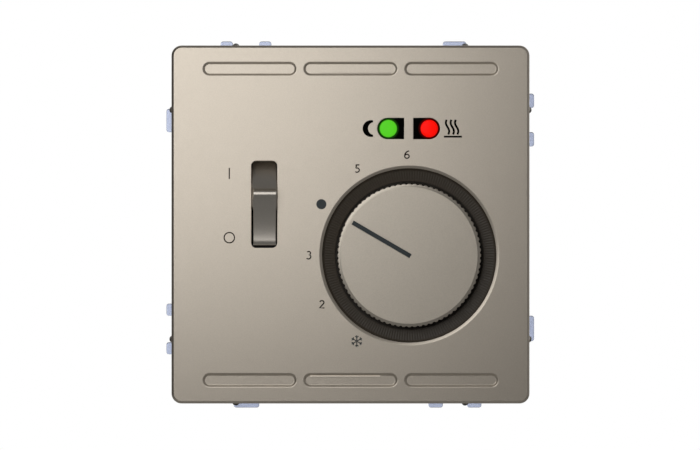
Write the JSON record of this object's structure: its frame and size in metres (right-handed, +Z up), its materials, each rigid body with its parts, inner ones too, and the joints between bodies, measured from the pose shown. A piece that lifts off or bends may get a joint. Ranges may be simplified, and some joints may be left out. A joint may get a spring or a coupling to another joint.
{
  "type": "wall thermostat",
  "caption": "Flush-mounted floor-heating thermostat: square metallic cover with a round setting dial, an on/off rocker and two indicator lamps over a wall-box insert.",
  "frame": {"origin": "centre of the wall opening, on the wall surface where the steel plate's back lies", "axes": "+Y into the wall, -Y is the visible front, +Z up, +X to the right seen from the front"},
  "size_m": [0.0726, 0.0401, 0.0726],
  "materials": {
    "satin_nickel": "satin metallic champagne lacquer",
    "rocker_lacquer": "satin metallic lacquer, slightly darker",
    "dark_bronze_plastic": "matt dark bronze",
    "slate_print": "matt slate",
    "black_gloss": "gloss",
    "green_lens": "clear moulded lens, lit",
    "red_lens": "clear moulded lens, lit",
    "green_epoxy": "gloss",
    "red_epoxy": "gloss",
    "clear_blue_plastic": "translucent moulded, pale blue",
    "zinc_plated_steel": "zinc plated",
    "nickel_plated_brass": "bright",
    "enamelled_copper": "gloss enamel over copper wire",
    "grey_plastic": "fine texture",
    "black_plastic": "satin",
    "board_green": "solder resist",
    "relay_blue": "gloss",
    "capacitor_yellow": "satin",
    "fuse_green": "gloss"
  },
  "bodies": {
    "insert": {"cover_plate": "satin_nickel", "dial_well": "dark_bronze_plastic", "left_lamp_window": "black_gloss", "right_lamp_window": "black_gloss", "green_light_guide": "green_lens", "red_light_guide": "red_lens", "green_lamp": "green_epoxy", "red_lamp": "red_epoxy", "clip_frame": "clear_blue_plastic", "support_plate": "zinc_plated_steel", "front_carrier": "grey_plastic", "rear_housing": "grey_plastic", "housing_screw_top": "zinc_plated_steel", "housing_screw_bottom": "zinc_plated_steel", "housing_screw_side": "zinc_plated_steel", "cover_screw": "zinc_plated_steel", "limit_pin_low": "black_plastic", "limit_pin_high": "black_plastic", "control_board": "board_green", "power_board": "board_green", "controller_chip": "black_plastic", "board_link": "black_plastic", "pot_case": "black_plastic", "pot_track": "enamelled_copper", "switch_case": "black_plastic", "switch_fulcrum": "nickel_plated_brass", "switch_fixed_contact": "nickel_plated_brass", "mains_capacitor": "capacitor_yellow", "smoothing_capacitor": "black_plastic", "varistor": "relay_blue", "fuse": "fuse_green", "relay_cover": "relay_blue", "relay_base": "black_plastic", "relay_coil": "enamelled_copper", "terminal_block": "grey_plastic", "terminal_clamp_1": "nickel_plated_brass", "terminal_screw_1": "nickel_plated_brass", "terminal_clamp_2": "nickel_plated_brass", "terminal_screw_2": "nickel_plated_brass", "terminal_clamp_3": "nickel_plated_brass", "terminal_screw_3": "nickel_plated_brass", "terminal_clamp_4": "nickel_plated_brass", "terminal_screw_4": "nickel_plated_brass", "terminal_clamp_5": "nickel_plated_brass", "terminal_screw_5": "nickel_plated_brass", "terminal_clamp_6": "nickel_plated_brass", "terminal_screw_6": "nickel_plated_brass"},
    "dial": {"dial_knob": "satin_nickel", "pointer": "slate_print", "pot_shaft": "black_plastic", "pot_wiper": "nickel_plated_brass"},
    "rocker": {"rocker": "rocker_lacquer", "switch_plunger": "grey_plastic", "switch_spring": "nickel_plated_brass"},
    "seesaw": {"switch_seesaw": "nickel_plated_brass"},
    "armature": {"relay_armature": "nickel_plated_brass"}
  },
  "joints": [
    {"name": "dial_turn", "type": "hinge", "parent": "insert", "child": "dial", "pos_m": [0.01158, -0.0122, -0.0061], "axis": [0, -1, 0], "range_deg": [-60, 90]},
    {"name": "rocker_tilt", "type": "hinge", "parent": "insert", "child": "rocker", "pos_m": [-0.01692, -0.0026, 0.00396], "axis": [1, 0, 0], "range_deg": [0, 28]},
    {"name": "seesaw_tilt", "type": "hinge", "parent": "insert", "child": "seesaw", "pos_m": [-0.01692, 0.0044, 0.00396], "axis": [1, 0, 0], "range_deg": [-10, 0]},
    {"name": "armature_tilt", "type": "hinge", "parent": "insert", "child": "armature", "pos_m": [0.0053, 0.0126, 0.0114], "axis": [0, 0, -1], "range_deg": [0, 4], "stiffness_Nm_per_rad": 0.005}
  ],
  "couplings": [
    {"joint": "seesaw_tilt", "follows": "rocker_tilt", "ratio": -0.35714}
  ]
}
